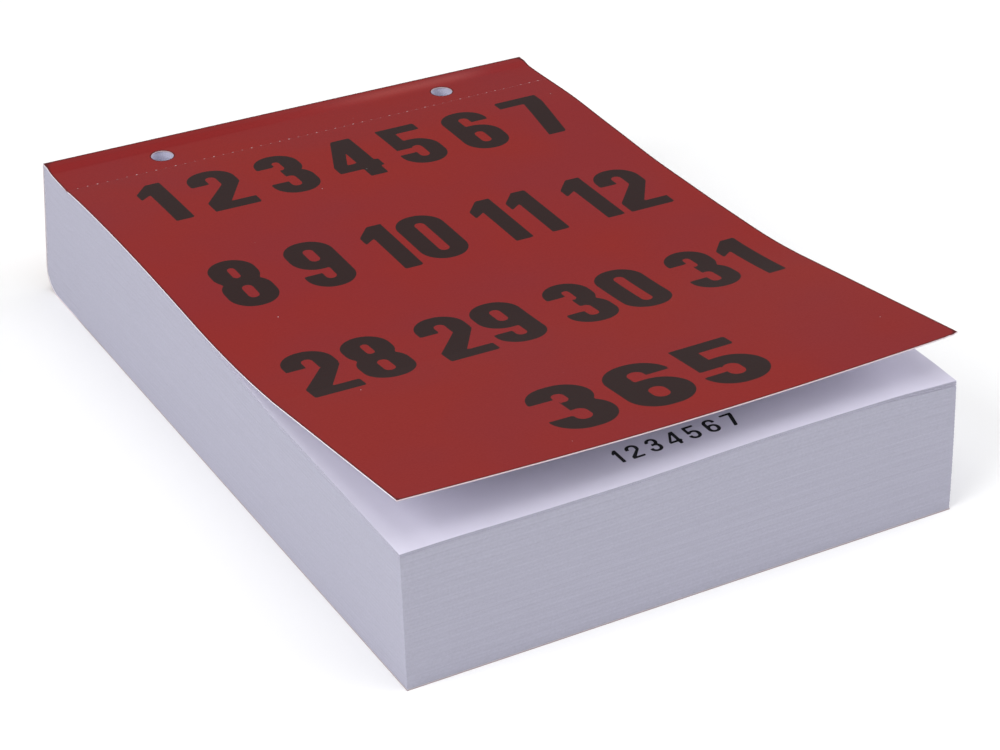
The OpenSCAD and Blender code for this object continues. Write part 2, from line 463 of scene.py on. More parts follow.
# ------------ numbers as distances to their outline
def pill(x, y, left, low, right, high, radius):
    """Distance outside a rectangle with rounded corners, less than 0 inside it."""
    radius = min(radius, (right - left) / 2, (high - low) / 2)
    dx = np.abs(x - (left + right) / 2) - (right - left) / 2 + radius
    dy = np.abs(y - (low + high) / 2) - (high - low) / 2 + radius
    return np.hypot(np.maximum(dx, 0), np.maximum(dy, 0)) + np.minimum(np.maximum(dx, dy), 0) - radius


def area(x, y, *corners):
    """Distance outside a polygon, less than 0 inside it: the nearest side, with the sign from how many
    sides a line to the right crosses."""
    nearest, inside = np.full(np.shape(x), np.inf), np.zeros(np.shape(x), bool)
    for (ax, ay), (bx, by) in zip(corners, corners[1:] + corners[:1]):
        ex, ey = bx - ax, by - ay
        share = np.clip(((x - ax) * ex + (y - ay) * ey) / (ex * ex + ey * ey), 0, 1)
        nearest = np.minimum(nearest, np.hypot(x - ax - share * ex, y - ay - share * ey))
        inside ^= ((ay > y) != (by > y)) & (((x - ax) * ey - (y - ay) * ex) * np.sign(ey) < 0)
    return np.where(inside, -nearest, nearest)


def digit(symbol, x, y, wide, tall, stem):
    """Distance outside a heavy upright digit in the box from (0, 0) to (wide, tall), less than 0 inside.

    A bowl is a rounded rectangle less a smaller one, open where a box is taken from it. Level strokes
    are thinner than stems, as in old poster types.
    """
    level = 0.84 * min(stem, tall / 4.5)
    waist = 0.52 * tall
    far = 2 * tall

    def bowl(left, low, right, high):
        outer = pill(x, y, left, low, right, high, 0.48 * wide)
        return np.maximum(outer, -pill(x, y, left + stem, low + level, right - stem, high - level, wide))

    def less(shape, *box):
        return np.maximum(shape, -pill(x, y, *box, 0))

    if symbol == "0":
        return bowl(0, 0, wide, tall)
    if symbol == "1":
        left = wide - stem
        return area(x, y, (left, 0), (wide, 0), (wide, tall), (left + 0.22 * stem, tall),
                    (left - 0.62 * stem, tall - 0.2 * tall), (left - 0.62 * stem, tall - 0.36 * tall),
                    (left, tall - 0.27 * tall))
    if symbol == "2":
        cap = less(bowl(0, 0.3 * tall, wide, tall), -far, -far, wide - stem, 0.66 * tall)
        cap = less(cap, -far, -far, far, 0.598 * tall)
        foot = area(x, y, (wide, 0.6 * tall), (wide - stem, 0.6 * tall), (0, level * 1.3), (0, 0), (wide, 0),
                    (wide, level), (stem * 1.22, level))
        return np.minimum(cap, foot)
    if symbol in "38":
        upper = bowl(0.03 * wide, waist - level / 2, 0.97 * wide, tall)
        both = np.minimum(upper, bowl(0, 0, wide, waist + level / 2))
        return both if symbol == "8" else less(both, -far, 0.31 * tall, stem + 0.05 * wide, 0.71 * tall)
    if symbol == "4":
        right, low = wide - 0.09 * wide, 0.19 * tall
        high, left = low + level, right - stem
        rise = (tall - high) / (left - 0.1 * stem)
        body = area(x, y, (right, 0), (right, low), (wide, low), (wide, high), (right, high), (right, tall),
                    (left - 0.1 * stem, tall), (0, high), (0, low), (left, low), (left, 0))
        inner = 0.78 * stem
        notch = area(x, y, (left, high), (left, high + rise * (left - inner)), (inner, high))
        return np.maximum(body, -notch)
    if symbol == "5":
        belly = less(bowl(0, 0, wide, 0.63 * tall), -far, 0.3 * tall, 1.03 * stem, 0.42 * tall)
        belly = less(belly, -far, 0.41 * tall, 0.5 * stem, far)
        neck = pill(x, y, 0.05 * wide, 0.42 * tall, stem, tall, 0)
        return np.minimum.reduce([belly, neck, pill(x, y, 0.05 * wide, tall - level, 0.95 * wide, tall, 0)])
    if symbol == "6":
        spine = less(bowl(0, 0, wide, tall), 0.5 * wide, -far, far, 0.69 * tall)
        spine = less(spine, stem, -far, far, 0.6 * tall)
        return np.minimum(spine, bowl(0, 0, wide, 0.61 * tall))
    if symbol == "7":
        return area(x, y, (0, tall), (wide, tall), (wide, tall - 1.1 * level), (0.34 * wide + stem, 0),
                    (0.34 * wide - 0.06 * stem, 0), (wide - 1.1 * stem, tall - level), (0, tall - level))
    return digit("6", wide - x, tall - y, wide, tall, stem)  # 9 is a 6 turned half round


def number_row(x, y, text, middle, base, wide, tall, stem, gap, space):
    """Distance outside a row of digits centred on a line: a digit takes its width and a gap, a 1 takes
    a third less, and a blank takes a space."""
    slim = 0.34 * wide
    steps = [space if c == " " else wide + gap - (slim if c == "1" else 0) for c in text]
    starts = middle - (sum(steps) - gap) / 2 + np.cumsum([0] + steps)
    found = [digit(c, x - start + (slim if c == "1" else 0), y - base, wide, tall, stem)
             for c, start in zip(text, starts) if c != " "]
    return np.minimum.reduce(found)


def no_print(x, y, level):
    """Far outside any print, everywhere."""
    return np.full(len(x), 1.0)


# ------------ finishes
def new_look(name, roughness, sheen, *marks):
    """A new material as (material, node tree, shader, Object coordinates, values of the named marks)."""
    material = bpy.data.materials.new(name)
    material.use_nodes = True
    tree = material.node_tree
    shader = tree.nodes["Principled BSDF"]
    feed(tree, shader, {"Roughness": roughness, "Specular IOR Level": sheen})
    place = add(tree, "TexCoord").outputs["Object"]
    values = [add(tree, "Attribute", attribute_name=mark).outputs["Fac"] for mark in marks]
    return material, tree, shader, place, *values


def feed(tree, node, inputs):
    """Sets the inputs that a node shows, by name or in their order: another node gives its first output,
    and a colour gets an alpha of 1."""
    if isinstance(inputs, dict):
        pairs = [(node.inputs[name], value) for name, value in inputs.items()]
    else:
        pairs = zip([socket for socket in node.inputs if socket.enabled], inputs)
    for socket, value in pairs:
        if isinstance(value, bpy.types.Node):
            value = next(output for output in value.outputs if output.enabled)
        if isinstance(value, bpy.types.NodeSocket):
            tree.links.new(value, socket)
        else:
            socket.default_value = (*value, 1.0) if np.size(value) == 3 else value


def add(tree, kind, inputs=(), **values):
    """Adds one shader node: values are its own settings, and inputs go to its sockets.

    In their order a MapRange takes (value, from low, from high, to low, to high), a Mix takes (share, at
    0, at 1), and a TexNoise takes (place, scale, detail, roughness).
    """
    node = tree.nodes.new("ShaderNode" + kind)
    for name, value in values.items():
        setattr(node, name, value)
    feed(tree, node, inputs)
    return node


def per_mm(size):
    """Noise scale on Object coordinates whose features are about this many millimetres across."""
    return 1.0 / (size * MM)


def shaded(colour, share):
    """A colour darkened to a share of its light."""
    return [value * share for value in colour]


def laminated_card():
    """Carton board, offset printed in solid red and near-black and covered with a satin film.

    The film gives a soft sheen with a faint waviness, and the red varies from cool to warm over some
    40 mm, as it came off the press. The glued band carries painted light: its left half is painted a
    deeper red where it reflects less light, and a painted highlight on its right half stands for the
    film's gloss. A painted shade hairline runs along the folds, cut edges and holes, and a few specks
    of dust show on the dark ink.
    """
    colours = settings().colours
    look, tree, shader, place, ink, haze, rim = new_look("laminated_card", 0.42, 0.35, "ink", "haze", "rim")
    tone = add(tree, "TexNoise", (place, per_mm(40), 2.0))
    patches = add(tree, "MapRange", (tone, 0.35, 0.65))
    # painted highlight: the gloss streak on the band's right half
    painted_gloss = add(tree, "MapRange", (haze, 0.0, 1.0, 0.0, 0.1))
    # painted shade: the deeper red on the band's left half, where it reflects less light
    painted_deep_red = add(tree, "MapRange", (haze, -1.0, 0.0, 0.65, 0.0))
    grain = add(tree, "TexNoise", (place, per_mm(0.5), 3.0))
    dots = add(tree, "MapRange", (grain, 0.3, 0.7, 0.0, 0.09))
    # painted shade: a dark hairline along folds, cut edges and holes, joined below with the real print grain
    crushed = add(tree, "MapRange", (rim, 0.15 * MM, 0.5 * MM, 1.0, 0.0))
    grain_and_edge_shade = add(tree, "Math", (dots, crushed), operation="MAXIMUM")
    red = add(tree, "Mix", (patches, colours.card, colours.warm), data_type="RGBA")
    for share, tint in ((painted_gloss, colours.gloss), (painted_deep_red, colours.band), (grain_and_edge_shade, colours.crushed)):
        red = add(tree, "Mix", (share, red, tint), data_type="RGBA")
    thin_ink = [dark * 0.94 + 0.06 * card for dark, card in zip(colours.ink, colours.card)]
    black = add(tree, "Mix", (grain, colours.ink, thin_ink), data_type="RGBA")
    inked = add(tree, "MapRange", (ink, -0.05 * MM, 0.05 * MM, 1.0, 0.0))
    printed = add(tree, "Mix", (inked, red, black), data_type="RGBA")
    dust = add(tree, "TexVoronoi", {"Vector": place, "Scale": per_mm(9), "Randomness": 1.0})
    speck = add(tree, "MapRange", (dust, 0.010, 0.016, 0.7, 0.0))
    dusted = add(tree, "Mix", (speck, printed, colours.board), data_type="RGBA")
    sheen = add(tree, "MapRange", (grain, 0.0, 1.0, 0.38, 0.46))
    waves = add(tree, "TexNoise", (place, per_mm(14), 1.0))
    height = add(tree, "Math", (waves, grain), operation="ADD")
    bump = add(tree, "Bump", {"Height": height, "Distance": 0.03 * MM, "Strength": 0.4})
    feed(tree, shader, {"Base Color": dusted, "Roughness": sheen, "Normal": bump})
    return look


def bare_board():
    """The card's unprinted side: white pulp board, matt and slightly fibrous."""
    return fibrous_board("bare_board", settings().colours.board)


def cut_board():
    """The card's guillotined edges: the same board, pinkish with a trace of the red.

    The perforating knife smears more of the red over its cuts. The edges on the floor are painted
    darker, as painted shade, and those along the block's sides are painted whiter, as painted light.
    """
    return fibrous_board("cut_board", settings().colours.cut)


def fibrous_board(name, base):
    """Matt board of a base colour with 0.8 mm fibres, which three marks make whiter with painted light,
    smear with the cover's red and darken with its ink as painted shade."""
    colours = settings().colours
    # the first mark is painted light, the second a real red smear, the third painted shade
    look, tree, shader, place, *marks = new_look(name, 0.85, 0.3, "clean", "smeared", "soiled")
    fibre = add(tree, "TexNoise", (place, per_mm(0.8), 4.0))
    board = add(tree, "Mix", (fibre, base, shaded(base, 0.9)), data_type="RGBA")
    for mark, tint in zip(marks, (colours.board, colours.card, colours.ink)):
        board = add(tree, "Mix", (mark, board, tint), data_type="RGBA")
    bump = add(tree, "Bump", {"Height": fibre, "Distance": 0.02 * MM, "Strength": 0.5})
    feed(tree, shader, {"Base Color": board, "Normal": bump})
    return look


def woodfree_paper():
    """Thin uncoated wood-free paper, brightened to a cool white, printed in black.

    It is fully matt, with a cloudy formation of a few millimetres that shows faintly in flat light.
    """
    colours = settings().colours
    look, tree, shader, place, ink = new_look("woodfree_paper", 0.9, 0.25, "ink")
    cloud = add(tree, "TexNoise", (place, per_mm(4), 3.0))
    sheet = add(tree, "Mix", (cloud, colours.leaf, shaded(colours.leaf, 0.965)), data_type="RGBA")
    inked = add(tree, "MapRange", (ink, -0.03 * MM, 0.03 * MM, 1.0, 0.0))
    printed = add(tree, "Mix", (inked, sheet, colours.leaf_ink), data_type="RGBA")
    tooth = add(tree, "TexNoise", (place, per_mm(0.6), 3.0))
    bump = add(tree, "Bump", {"Height": tooth, "Distance": 0.015 * MM, "Strength": 0.4})
    feed(tree, shader, {"Base Color": printed, "Normal": bump})
    return look


def leaf_edges():
    """The guillotined edges of hundreds of leaves: matt, with fine streaks that run along the leaves.

    A streak is about two leaves high, coarser than a single leaf so that it shows, and fades over
    150 mm; its darker tone is partly painted shade of leaves that stand a little back. The walls of
    the drilled holes are painted whiter, as painted light inside the holes.
    """
    colours = settings().colours
    look, tree, shader, place, leaf, drilled = new_look("leaf_edges", 0.95, 0.15, "leaf", "drilled")
    parts = add(tree, "SeparateXYZ", (place,)).outputs
    level = add(tree, "Math", (leaf, 0.5), operation="MULTIPLY")
    along = add(tree, "Math", (parts["X"], parts["Y"]), operation="ADD")
    run = add(tree, "Math", (along, per_mm(150)), operation="MULTIPLY")
    layer = add(tree, "CombineXYZ", (run, level))
    streak = add(tree, "TexNoise", (layer, 1.0, 5.0, 0.65))
    speckle = add(tree, "TexNoise", (place, per_mm(0.5), 2.0))
    both = add(tree, "Math", (streak, speckle), operation="ADD")
    contrast = add(tree, "MapRange", (both, 0.6, 1.4))
    # the streaks' darker tone is partly painted shade of leaves that stand a little back
    streaks_and_shade = add(tree, "Mix", (contrast, colours.edge, shaded(colours.edge, 0.87)), data_type="RGBA")
    # painted light: the walls of the holes are painted lighter
    mix = add(tree, "Mix", (drilled, streaks_and_shade, colours.bore), data_type="RGBA")
    bump = add(tree, "Bump", {"Height": streak, "Distance": 0.05 * MM, "Strength": 0.5})
    feed(tree, shader, {"Base Color": mix, "Normal": bump})
    return look


def dried_glue():
    """Dried dispersion glue: a slightly glossy skin with soft lumps a few millimetres across."""
    glue = settings().colours.glue
    look, tree, shader, place = new_look("dried_glue", 0.5, 0.5)
    lumps = add(tree, "TexNoise", (place, per_mm(3), 2.0))
    mix = add(tree, "Mix", (lumps, glue, shaded(glue, 0.85)), data_type="RGBA")
    bump = add(tree, "Bump", {"Height": lumps, "Distance": 0.1 * MM, "Strength": 0.4})
    feed(tree, shader, {"Base Color": mix, "Normal": bump})
    return look


def pale_floor():
    """Matt pale backdrop board, whose white varies very slightly over some 400 mm."""
    white = settings().colours.floor
    look, tree, shader, place = new_look("pale_floor", 0.9, 0.1)
    soft = add(tree, "TexNoise", (place, per_mm(400), 1.0))
    mix = add(tree, "Mix", (soft, white, shaded(white, 0.985)), data_type="RGBA")
    feed(tree, shader, {"Base Color": mix})
    return look


def look_of(make):
    """The material that a function makes, made once."""
    return bpy.data.materials.get(make.__name__) or make()


CARD_LOOKS = (laminated_card, bare_board, cut_board)
LEAF_LOOKS = (woodfree_paper, woodfree_paper, leaf_edges)


# ------------ the cover
def arc(centre, radius, start, end, count):
    """Points and outward directions along an arc, from one direction to another."""
    turn = np.linspace(start, end, count)
    out = np.stack([np.cos(turn), np.sin(turn)], 1)
    return np.asarray(centre) + radius * out, out


def wrap_path():
    """The outer face of the folded cover, seen from the side, from the perforation round to the free
    edge underneath: (distance along it, points, outward directions).

    It runs along the top leaf, climbs the crease in an S, crosses the glued band, turns a small fold,
    slopes back to the foot's arc and runs forward under the block.
    """
    cover = settings().cover
    edge_y = spine_edge()
    up = np.array([-math.sin(TILT), math.cos(TILT)])
    crease_end = edge_y - cover.band_width
    crease_start = crease_end - cover.crease_width
    flat_y = np.concatenate([spread(HINGE_Y, crease_start, 2 * MM)[:-1],
                             spread(crease_start, crease_end, 0.05 * MM)[:-1],
                             spread(crease_end, edge_y - 1.2 * cover.fold_radius, 0.5 * MM)])
    climb = cover.glue * smooth(flat_y, crease_start, crease_end)
    top = np.stack([flat_y, leaf_plane(flat_y) + CARD + climb], 1)
    foot = np.array([REAR_Y - cover.foot_radius, cover.foot_radius])
    corner = np.array([edge_y, leaf_plane(edge_y) + cover.glue + CARD])
    gap = corner - foot
    lean = math.atan2(gap[1], gap[0]) - math.acos(cover.foot_radius / np.linalg.norm(gap))
    rear_out = np.array([math.cos(lean), math.sin(lean)])
    offsets = np.array([up, rear_out])
    reach = np.array([corner @ up - cover.fold_radius, corner @ rear_out - cover.fold_radius])
    fold, fold_out = arc(np.linalg.solve(offsets, reach), cover.fold_radius, math.pi / 2 + TILT, lean,
                         FOLD_POINTS)
    turn, turn_out = arc(foot, cover.foot_radius, lean, -math.pi / 2, FOOT_POINTS)
    under_y = spread(foot[0], FREE_EDGE_Y, -4 * MM)[1:]
    points = np.concatenate([top, fold, turn, np.stack([under_y, np.zeros_like(under_y)], 1)])
    out = np.concatenate([np.tile(up, (len(top), 1)), fold_out, turn_out,
                          np.tile([0.0, -1.0], (len(under_y), 1))])
    distance = np.concatenate([[0], np.cumsum(np.linalg.norm(np.diff(points, axis=0), axis=1))])
    return distance, points, out


def on_wrap(distance, points, out, x, along, depth):
    """Places at the given distances along the cover and the given depth under its outer face."""
    y, z = (np.interp(along, distance, points[:, k]) for k in (0, 1))
    ny, nz = (np.interp(along, distance, out[:, k]) for k in (0, 1))
    size = np.hypot(ny, nz)
    return swollen(x, y - depth * ny / size, z - depth * nz / size)


def swollen(x, y, z):
    """A place in the bound part, moved up with the bulge of the leaves, and up and back with the spine's
    upper edge: by the full amount there at the left end, by an eighth of it at the right end, and by
    nothing at the perforation and foot. The push grows with the square of the height."""
    cover = settings().cover
    edge_y = spine_edge()
    height = np.clip((z - cover.foot_radius) / (leaf_plane(edge_y) - cover.foot_radius), 0, 1)
    share = (1 - 0.875 * across_share(x)) * smooth(y, HINGE_Y, edge_y) * height
    rise = cover.spine_rise * share + swelling(x, y) * height
    return np.stack([x, y + cover.spine_push * share * height, z + rise], 1)


def holed_net(across, along, centres, radius):
    """A grid net with a round hole at each centre, each joined to the grid by a ring inside a square."""
    across, along = (
        lines(*[np.linspace(c - WINDOW, c + WINDOW, WINDOW_SIDES + 1) for c in middles],
              clear_of(values, middles, WINDOW))
        for values, middles in zip((across, along), zip(*centres)))
    mid_x, mid_y = (across[1:] + across[:-1]) / 2, (along[1:] + along[:-1]) / 2
    keep = np.ones((len(mid_x), len(mid_y)), bool)
    for x, y in centres:
        keep &= ~((np.abs(mid_x - x) < WINDOW)[:, None] & (np.abs(mid_y - y) < WINDOW))
    rings = [ring_net(centre, radius, WINDOW, WINDOW_SIDES, WINDOW_RINGS) for centre in centres]
    return weld([grid_net(across, along, keep), *rings])


def clear_of(values, centres, half):
    """The values that lie outside every window."""
    return values[np.all([np.abs(values - c) > half + CLEAR for c in centres], axis=0)]


class CALENDAR_OT_cover_wrap(bpy.types.Operator):
    """Make the cover behind the perforation, round the spine and under the block as one folded card"""

    bl_idname = "calendar.cover_wrap"
    bl_label = "Wraparound cover"

    def execute(self, context):
        distance, points, out = wrap_path()
        total = distance[-1]
        top_hole = (HOLE_Y - HINGE_Y) / math.cos(TILT)
        under_hole = total - (HOLE_Y - FREE_EDGE_Y)
        under = total - (foot_y() - FREE_EDGE_Y)
        bends = distance[(distance > top_hole + WINDOW) & (distance < under)]
        along = lines([0, top_hole - WINDOW], bends, spread(under, total, 6 * MM))
        centres = [(side * HOLE_X, y) for side in (-1, 1) for y in (top_hole, under_hole)]
        hole = HOLE_RADIUS - settings().cover.burr
        net = holed_net(spread(-HALF_WIDTH, HALF_WIDTH, 2.5 * MM), along, centres, hole)
        fold_at = distance[np.argmax(out[:, 1] < 0.8)]

        def on_underside(along):
            """0 behind the holes and 1 in front of the perforation, on the side that lies on the floor."""
            return smooth(along, under_hole, total - (HINGE_Y - FREE_EDGE_Y))

        def from_hole(x, along):
            """Distance outside the nearer hole in the strip, less than 0 inside it."""
            return np.hypot(np.abs(x) - HOLE_X, along - top_hole) - hole

        def place(x, along, depth):
            """On the wrap's path, pressed down round the holes, and tucked in under the block."""
            corners = on_wrap(distance, points, out, x, along, depth)
            dip = 0.06 * MM * np.exp(-np.maximum(from_hole(x, along), 0) / (0.25 * MM))
            corners[:, 2] -= dip * (along < top_hole + WINDOW)
            corners[:, 0] *= 1 - settings().cover.tuck / HALF_WIDTH * on_underside(along)
            corners[:, 1] += settings().cover.tuck * smooth(along, total - 20 * MM, total)
            return corners

        # rim places the painted shade hairline along the side edges, the holes and the spine's fold
        def rim(x, along, depth):
            """Distance to the nearest side edge or hole, or half the distance to the spine's fold."""
            from_fold = np.abs(along - fold_at)
            return np.minimum.reduce([HALF_WIDTH - np.abs(x), from_hole(x, along), 0.5 * from_fold])

        def haze(x, along, depth):
            """Painted light on the glued band: -1 on its left, painted a deeper red for less reflected light,
            and a bell-shaped painted highlight streak up to 1 on its right.
            """
            ahead = fold_at - along
            painted_deep_red = smooth(-x, -5 * MM, 25 * MM) * smooth(ahead, 0, 0.1 * MM)
            painted_deep_red = painted_deep_red * smooth(-ahead, -6.2 * MM, -5.8 * MM)
            shown = smooth(x, 0, 30 * MM) * smooth(-x, -60 * MM, -46 * MM)
            return shown * np.exp(-(((ahead - 3.4 * MM) / (1.8 * MM)) ** 2)) - painted_deep_red

        marks = {"ink": no_print, "rim": rim, "haze": haze,
                 "smeared": lambda x, along, depth: knife_smear(x) * (along < 0.5 * MM),
                 # painted shade: the card's edges on the floor are darkened towards the ink
                 "soiled": lambda x, along, depth: 0.4 * on_underside(along),
                 # painted light: the cut edges along the block's sides are whitened
                 "clean": lambda x, along, depth: side_clean(x) * (along < fold_at)}
        piece = solid("cover_wrap", net, place, [CARD, 0.0], CARD_LOOKS, marks)
        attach(piece, "block")
        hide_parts("cover_hinge_strip", "cover_spine", "cover_back")
        return {"FINISHED"}


def side_clean(x):
    """How much painted light whitens the cut board on the block's left and right sides."""
    return 0.65 * (np.abs(x) > HALF_WIDTH - 0.1 * MM)


def knife_smear(x):
    """How much red the perforating knife smeared over its cut, most at the left edge."""
    return 0.75 - 0.45 * across_share(x)


def foot_y():
    """Where the foot's arc meets the flat under side."""
    return REAR_Y - settings().cover.foot_radius


def cover_rows():
    """Places along Y of the bases of the cover's four rows of numbers, if the cover lay flat."""
    numbers = settings().numbers
    top = spine_edge() - numbers.first_row - numbers.digit_height
    return [top - row * numbers.row_pitch for row in range(4)]


def cover_print(x, y):
    """Distance outside the cover's four rows of plain numbers, at a place on the flat sheet."""
    numbers = settings().numbers
    wide, tall, stem, gap = numbers.digit_width, numbers.digit_height, numbers.stem, numbers.digit_gap
    # text, middle, width, stem, gap and space of each row
    rows = [("1 2 3 4 5 6 7", 2.3 * MM, wide, stem, gap, 3.65 * MM),
            ("8 9 10 11 12", 1.5 * MM, wide, stem, gap, 5.5 * MM),
            ("28 29 30 31", 0.5 * MM, wide, stem, gap, 4.5 * MM),
            ("365", 1.5 * MM, 1.3 * wide, 1.25 * stem, 1.6 * gap, 0)]
    return np.minimum.reduce([
        number_row(x, y, text, middle, base, width, tall, stroke, space, blank)
        for base, (text, middle, width, stroke, space, blank) in zip(cover_rows(), rows)])


class CALENDAR_OT_lifted_cover(bpy.types.Operator):
    """Make the cover in front of the perforation, curled up towards its free edge and printed"""

    bl_idname = "calendar.lifted_cover"
    bl_label = "Lifted cover"

    def execute(self, context):
        cover, numbers = settings().cover, settings().numbers
        flat_length = HINGE_Y - FREE_EDGE_Y
        half, root = numbers.digit_height / 2, HINGE_Y - cover.fold_length
        rows = [low + half for low in cover_rows()]
        between = clear_of(spread(FREE_EDGE_Y, root, 2 * MM), rows, half)
        printed = [spread(middle - half, middle + half, 0.7 * MM) for middle in rows]
        net = tied_net(lines(between, spread(root, HINGE_Y, 0.4 * MM), *printed), parts=3)

        def sheet(x, y):
            """Distance along the sheet: the net's depth stretched to the length of the cut at that x, with
            the free edge's right corner worn short and frayed in a sine over its last 6 mm."""
            cut = cover.sheet_left + (cover.sheet_right - cover.sheet_left) * across_share(x)
            cut = cut - 0.45 * MM * np.exp((np.abs(x) - HALF_WIDTH) / (0.8 * MM)) * across_share(x)
            frayed = smooth(x, HALF_WIDTH - 6 * MM, HALF_WIDTH - 1 * MM) * (1 + np.sin(x / (0.37 * MM)))
            return (HINGE_Y - y) * (cut - 0.16 * MM * frayed) / flat_length

        def place(x, y, depth):
            """A flat run, an arc and a straight end, raised by the stack's swelling and tilted with it."""
            along = sheet(x, y)
            right = across_share(x)
            start = cover.curl_start_left + (cover.curl_start_right - cover.curl_start_left) * right
            turned = np.clip((along - start) / cover.curl_radius, 0, cover.curl_angle)
            straight = np.maximum(along - start - cover.curl_radius * cover.curl_angle, 0)
            hang = cover.sag * (0.15 + 0.85 * np.sin(math.pi * right))
            hang = hang * np.clip((along - HANG_START) / (cover.sheet_left - HANG_START), 0, 1) ** 2
            u = np.minimum(along, start) + cover.curl_radius * np.sin(turned) + straight * np.cos(turned)
            v = cover.curl_radius * (1 - np.cos(turned)) + straight * np.sin(turned) + swelling(x, y) - hang
            u = u - (CARD - depth) * np.sin(turned)
            v = v + (CARD - depth) * np.cos(turned)
            base = HINGE_Z - CARD
            return np.stack([x, HINGE_Y - u * math.cos(TILT) - v * math.sin(TILT),
                             base - u * math.sin(TILT) + v * math.cos(TILT)], 1)

        def ink(x, y, depth):
            return cover_print(x, HINGE_Y - sheet(x, y)) if depth == 0.0 else no_print(x, y, depth)

        # rim places the painted shade hairline along the side edges and the free edge
        def rim(x, y, depth):
            """Distance to the nearest side edge or the free edge."""
            return np.minimum(HALF_WIDTH - np.abs(x), y - FREE_EDGE_Y)

        marks = {"ink": ink, "rim": rim,
                 "smeared": lambda x, y, depth: knife_smear(x) * (y > HINGE_Y - 0.5 * MM),
                 # painted light: the cut edges along the sides are whitened
                 "clean": lambda x, y, depth: side_clean(x) * (y > FREE_EDGE_Y + 0.5 * MM)}
        piece = solid("lifted_cover", net, place, [CARD, 0.0], CARD_LOOKS, marks)
        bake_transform(piece)
        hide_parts("cover_flap")
        return {"FINISHED"}


class CALENDAR_OT_perforation_nicks(bpy.types.Operator):
    """Make the torn fibres that stand up at the perforation's ties, each a flat dome of three rings"""

    bl_idname = "calendar.perforation_nicks"
    bl_label = "Perforation nicks"

    def execute(self, context):
        left, right = tie_edges()
        middle, number = (left + right)[1:-1] / 2, np.arange(1, len(left) - 1)
        at_y = HINGE_Y + 0.05 * MM
        size = 0.5 + 0.5 * np.sin(2.3 * number + 1.9 * np.sin(0.7 * number))
        half_x = (0.15 + 0.12 * size + 0.08 * across_share(middle)) * MM
        half_y = (0.1 + 0.1 * size) * (1 - 0.5 * across_share(middle)) * MM
        rise = (0.03 + 0.05 * size) * MM
        turns = np.arange(NICK_SIDES) / NICK_SIDES * 2 * math.pi
        turn, radius = np.meshgrid(turns, [0.5, 0.85, 1.0], indexing="ij")
        cap = np.sqrt(1 - radius ** 2)
        x = middle[:, None, None] + half_x[:, None, None] * radius * np.cos(turn)
        y = at_y + half_y[:, None, None] * radius * np.sin(turn)
        z = leaf_plane(y) + swelling(x, y) + CARD + rise[:, None, None] * cap - 0.02 * MM
        top = np.stack([x, y, z], -1).reshape(len(middle), -1, 3)
        peak = np.stack([middle, np.full_like(middle, at_y),
                         leaf_plane(HINGE_Y) + swelling(middle, HINGE_Y) + CARD + rise], -1)[:, None]
        corners = np.concatenate([top, peak], axis=1)
        count = corners.shape[1]
        here = np.arange(NICK_SIDES) * 3
        after = np.roll(here, -1)
        rings = np.concatenate([np.stack([here + k, here + k + 1, after + k + 1, after + k], 1)
                                for k in (0, 1)])
        crown = np.stack([here, after, np.full(NICK_SIDES, count - 1)], 1)
        floor = (here + 2)[::-1]
        faces = []
        for start in np.arange(len(middle)) * count:
            faces += (rings + start).tolist() + (crown + start).tolist() + [(floor + start).tolist()]
        mesh = bpy.data.meshes.new("perforation_nicks")
        mesh.from_pydata(corners.reshape(-1, 3).tolist(), [], faces)
        mesh.materials.append(look_of(cut_board))
        smeared = np.full(len(mesh.vertices), 0.4, np.float32)
        mesh.attributes.new("smeared", "FLOAT", "POINT").data.foreach_set("value", smeared)
        mesh.polygons.foreach_set("use_smooth", np.ones(len(faces), bool))
        piece = put_in_scene("perforation_nicks", mesh)
        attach(piece, "block")
        return {"FINISHED"}


class CALENDAR_OT_spine_glue(bpy.types.Operator):
    """Make the layer of glue between the cover and the bound ends of the leaves"""

    bl_idname = "calendar.spine_glue"
    bl_label = "Spine glue"

    def execute(self, context):
        cover = settings().cover
        distance, points, out = wrap_path()
        start = (cover.perforation_inset - cover.band_width) / math.cos(TILT)
        end = distance[-1] - (foot_y() - FREE_EDGE_Y)
        along = distance[(distance >= start) & (distance <= end)]
        net = grid_net(spread(-HALF_WIDTH + 0.3 * MM, HALF_WIDTH - 0.3 * MM, 4 * MM), along)

        def place(x, along, depth):
            return on_wrap(distance, points, out, x, along, depth)

        levels = [CARD + cover.glue, CARD + CLEAR / 2]
        piece = solid("glue_layer", net, place, levels, [dried_glue] * 3)
        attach(piece, "block")
        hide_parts("spine_glue")
        return {"FINISHED"}


# ------------ the leaves
def leaf_level(x, y, leaves):
    """The number of leaves under a corner, which the streaks of the cut edges follow."""
    return np.full(len(x), float(leaves))


